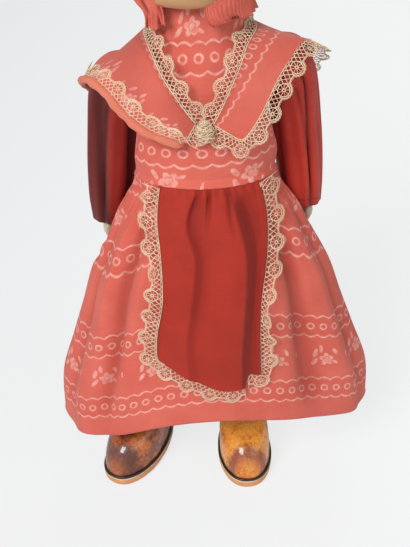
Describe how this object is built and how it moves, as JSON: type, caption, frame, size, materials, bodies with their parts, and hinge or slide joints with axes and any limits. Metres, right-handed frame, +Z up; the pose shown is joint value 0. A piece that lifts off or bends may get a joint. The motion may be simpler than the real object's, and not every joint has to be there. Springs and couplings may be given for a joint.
{
  "type": "cloth doll",
  "caption": "Jointed cloth doll in a print dress, lace-edged apron, fichu and bonnet, with stiff glossy shoes; its head turns and its limbs swing.",
  "frame": {"origin": "on the floor under the middle of the doll, between its shoes", "axes": "+Z up through the crown, +X to the right as seen from the front, the doll faces -Y"},
  "size_m": [0.2044, 0.1133, 0.3925],
  "materials": {
    "print_cloth": "matte",
    "red_cloth": "satin",
    "lace": "matte",
    "calico": "matte",
    "mitten_cloth": "matte",
    "cotton": "matte",
    "stocking_cloth": "matte",
    "wool": "matte",
    "shoe_upper": "gloss",
    "shoe_welt": "satin",
    "shoe_sole": "satin",
    "fibre": "matte",
    "pin_steel": "satin"
  },
  "bodies": {
    "torso": {"torso": "calico", "bodice": "print_cloth", "petticoat": "cotton", "skirt": "print_cloth", "apron_band": "red_cloth", "apron": "red_cloth", "apron_lace": "lace", "apron_bow": "red_cloth", "lace_knot": "lace", "fichu_left": "print_cloth", "fichu_right": "print_cloth", "fichu_inner_lace_left": "lace", "fichu_inner_lace_right": "lace", "fichu_outer_lace_left": "lace", "fichu_outer_lace_right": "lace", "neck_body_disc": "fibre", "neck_pin": "pin_steel", "shoulder_left_body_disc": "fibre", "shoulder_left_pin": "pin_steel", "shoulder_right_body_disc": "fibre", "shoulder_right_pin": "pin_steel", "hip_left_body_disc": "fibre", "hip_left_pin": "pin_steel", "hip_right_body_disc": "fibre", "hip_right_pin": "pin_steel"},
    "head": {"head": "calico", "hair": "wool", "bonnet_crown": "print_cloth", "bonnet_brim": "print_cloth", "bonnet_lace": "lace", "bonnet_curtain": "print_cloth", "neck_limb_disc": "fibre"},
    "arm_left": {"arm_left": "mitten_cloth", "sleeve_left": "red_cloth", "shoulder_left_limb_disc": "fibre"},
    "leg_left": {"leg_left": "calico", "stocking_left": "stocking_cloth", "drawers_left": "cotton", "shoe_upper_left": "shoe_upper", "shoe_welt_left": "shoe_welt", "shoe_sole_left": "shoe_sole", "hip_left_limb_disc": "fibre"},
    "arm_right": {"arm_right": "mitten_cloth", "sleeve_right": "red_cloth", "shoulder_right_limb_disc": "fibre"},
    "leg_right": {"leg_right": "calico", "stocking_right": "stocking_cloth", "drawers_right": "cotton", "shoe_upper_right": "shoe_upper", "shoe_welt_right": "shoe_welt", "shoe_sole_right": "shoe_sole", "hip_right_limb_disc": "fibre"}
  },
  "joints": [
    {"name": "neck_turn", "type": "hinge", "parent": "torso", "child": "head", "pos_m": [0, 0, 0.3135], "axis": [0, 0, 1], "range_deg": [-30, 60]},
    {"name": "shoulder_swing_left", "type": "hinge", "parent": "torso", "child": "arm_left", "pos_m": [-0.0385, 0.004, 0.27], "axis": [-0.809, 0.5878, 0], "range_deg": [0, 78], "deforming": ["fichu_left", "fichu_inner_lace_left", "fichu_outer_lace_left"]},
    {"name": "shoulder_swing_right", "type": "hinge", "parent": "torso", "child": "arm_right", "pos_m": [0.0385, 0.004, 0.276], "axis": [-0.809, -0.5878, 0], "range_deg": [0, 78], "deforming": ["fichu_right", "fichu_inner_lace_right", "fichu_outer_lace_right"]},
    {"name": "hip_swing_left", "type": "hinge", "parent": "torso", "child": "leg_left", "pos_m": [-0.0175, 0, 0.163], "axis": [-1, 0, 0], "range_deg": [-14, 15]},
    {"name": "hip_swing_right", "type": "hinge", "parent": "torso", "child": "leg_right", "pos_m": [0.0175, 0, 0.163], "axis": [-1, 0, 0], "range_deg": [-14, 15]}
  ]
}
